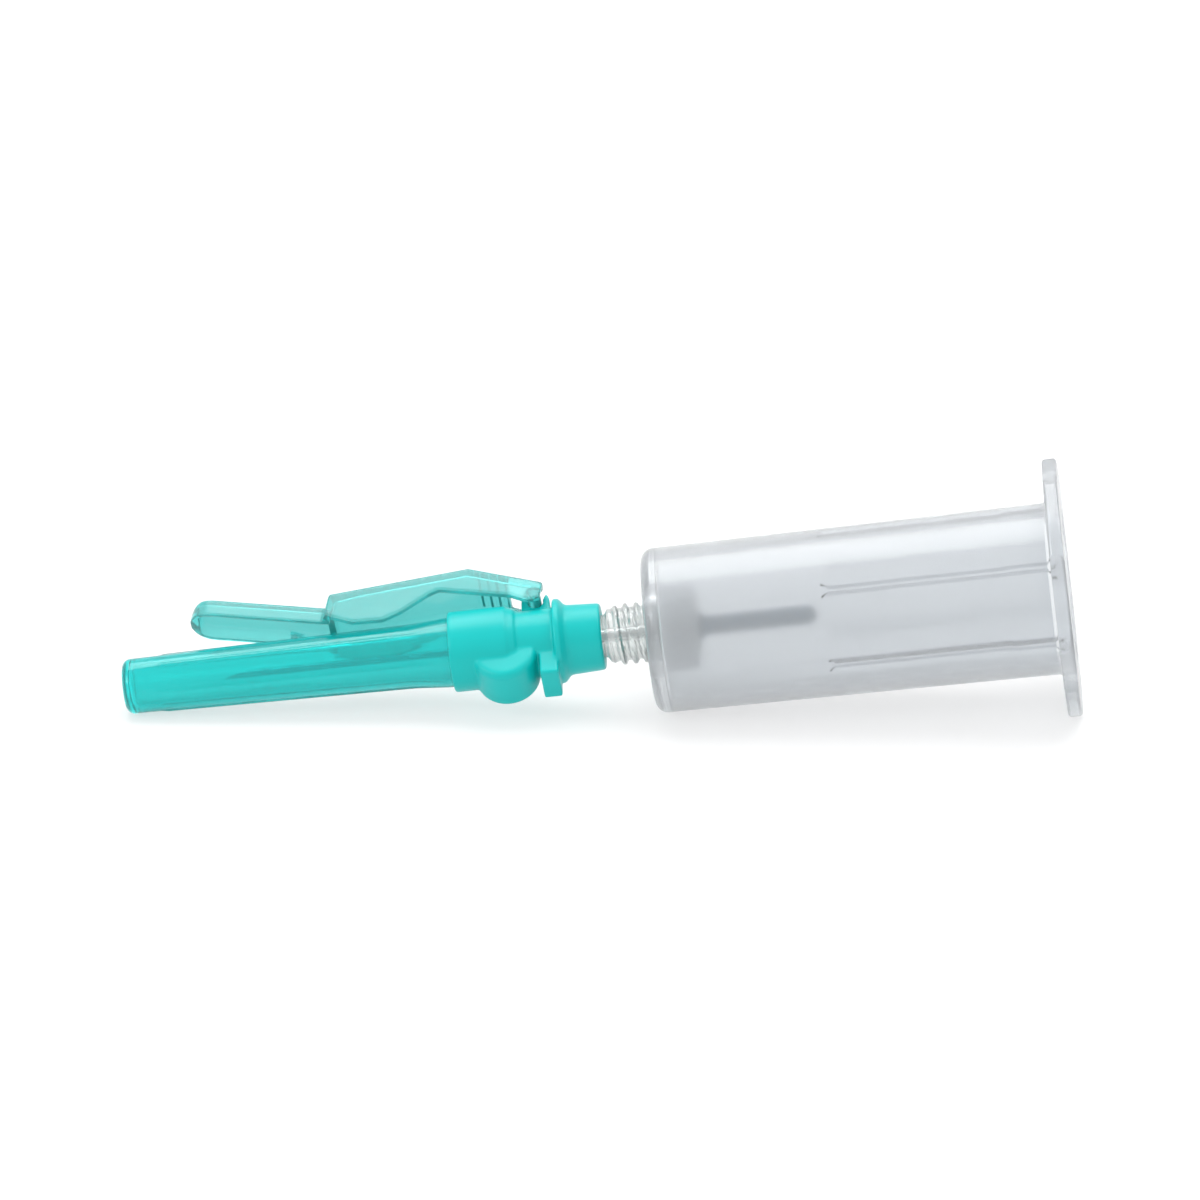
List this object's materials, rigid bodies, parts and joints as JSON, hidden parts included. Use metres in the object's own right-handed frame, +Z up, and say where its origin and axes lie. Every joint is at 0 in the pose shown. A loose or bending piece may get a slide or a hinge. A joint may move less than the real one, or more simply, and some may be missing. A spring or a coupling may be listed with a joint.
{
  "type": "blood collection needle with holder",
  "caption": "Capped double-ended needle with a hinged safety shield, screwed into a flanged plastic tube holder; the cap pulls off and the shield swings.",
  "frame": {"origin": "centre of the bounding box's base, on the floor that the device lies on", "axes": "+X from the needle end towards the tube end, +Z up, -Y the near side; the needle's axis rises 5.9 degrees towards +X because the device lies on its cap's tip and on its flange"},
  "size_m": [0.1132, 0.0254, 0.029],
  "materials": {
    "frosted_plastic": "translucent, lightly frosted",
    "clear_plastic": "clear, glossy",
    "stainless_steel": "polished tube",
    "cured_adhesive": "clear, glossy",
    "grey_rubber": "matt",
    "teal_plastic": "translucent, saturated",
    "pale_teal_plastic": "translucent, pale",
    "cap_plastic": "translucent, saturated"
  },
  "bodies": {
    "needle_and_holder": {"tube_holder": "frosted_plastic", "needle_hub": "clear_plastic", "cannula": "stainless_steel", "bond_bead": "cured_adhesive", "rubber_sleeve": "grey_rubber", "safety_collar": "teal_plastic"},
    "shield": {"safety_shield": "pale_teal_plastic"},
    "cap": {"needle_cap": "cap_plastic"}
  },
  "joints": [
    {"name": "shield_swing", "type": "hinge", "parent": "needle_and_holder", "child": "shield", "pos_m": [-0.00763, 0.00419, 0.01089], "axis": [0.0859, 0.5446, -0.8343], "range_deg": [0, 130]},
    {"name": "cap_pull", "type": "slide", "parent": "needle_and_holder", "child": "cap", "axis": [-0.9947, 0, -0.1024], "range_m": [0, 0.04]}
  ]
}
